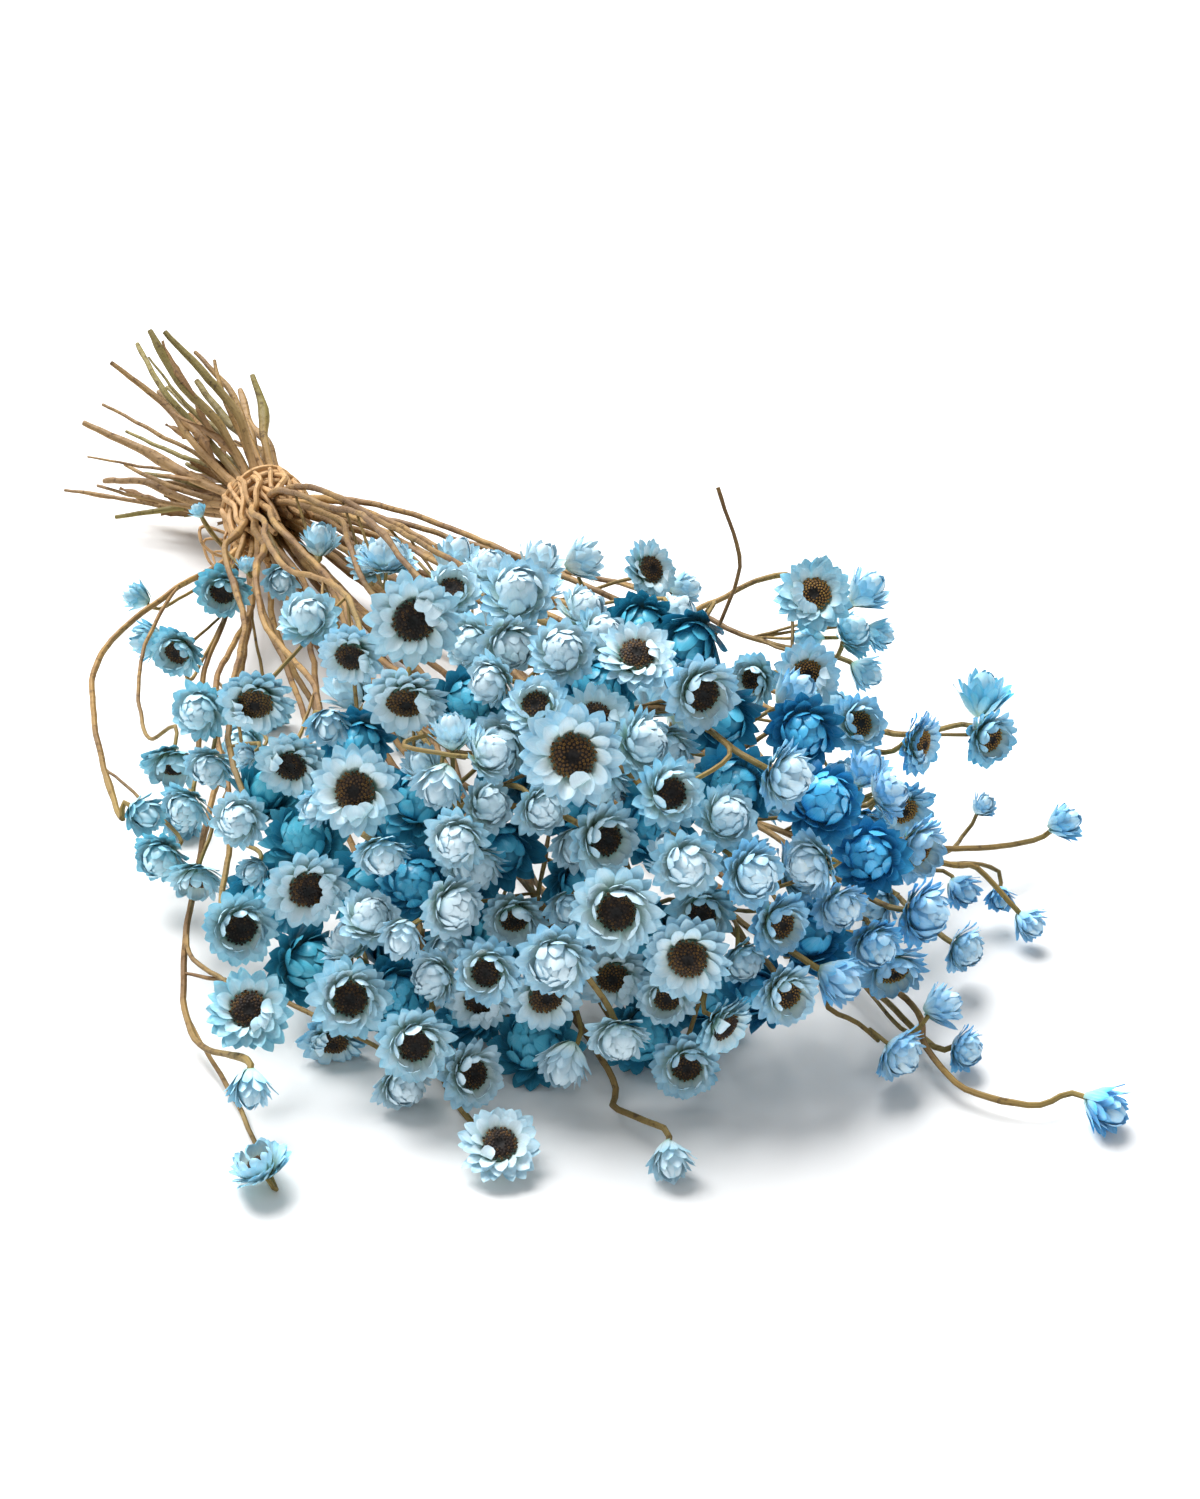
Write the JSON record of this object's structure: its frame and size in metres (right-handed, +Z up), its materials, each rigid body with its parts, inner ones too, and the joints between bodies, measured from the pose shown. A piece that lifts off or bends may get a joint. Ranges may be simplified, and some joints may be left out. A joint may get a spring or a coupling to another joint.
{
  "type": "preserved winged everlasting bunch",
  "caption": "Tied bunch of preserved winged everlasting lying down: thin dried stems, papery dyed-blue flower heads fanned out at one end, cut stem ends beyond the tie at the other.",
  "frame": {"origin": "centre of the bounding box's base, on the surface that the bunch lies on", "axes": "+Z up; +Y along the bunch, from the flower heads to the cut stem ends; +X to the right for someone who looks along +Y"},
  "size_m": [0.268, 0.4971, 0.1222],
  "materials": {
    "teal_spray": "papery, matt, dyed teal blue",
    "pale_spray": "papery, matt with a faint sheen, dyed pale blue",
    "blue_spray": "papery, matt, dyed sky blue",
    "dry_stems": "dry, matt plant stem"
  },
  "bodies": {
    "root": {"spray_01": "teal_spray", "spray_02": "blue_spray", "spray_03": "blue_spray", "spray_04": "blue_spray", "spray_05": "blue_spray", "spray_06": "blue_spray", "spray_07": "pale_spray", "spray_08": "teal_spray", "spray_09": "teal_spray", "spray_10": "teal_spray", "spray_11": "teal_spray", "spray_12": "pale_spray", "spray_13": "pale_spray", "spray_14": "teal_spray", "spray_15": "pale_spray", "spray_16": "pale_spray", "spray_17": "pale_spray", "spray_18": "pale_spray", "spray_19": "pale_spray", "spray_20": "pale_spray", "spray_21": "pale_spray", "spray_22": "pale_spray", "spray_23": "pale_spray", "spray_24": "pale_spray", "spray_25": "pale_spray", "spray_26": "pale_spray", "spray_27": "pale_spray", "spray_28": "pale_spray", "spray_29": "pale_spray", "spray_30": "pale_spray", "spray_31": "blue_spray", "spray_32": "blue_spray", "spray_33": "pale_spray", "spray_34": "pale_spray", "spray_35": "pale_spray", "spray_36": "blue_spray", "spray_37": "pale_spray", "spray_38": "blue_spray", "tie": "dry_stems"}
  },
  "joints": []
}
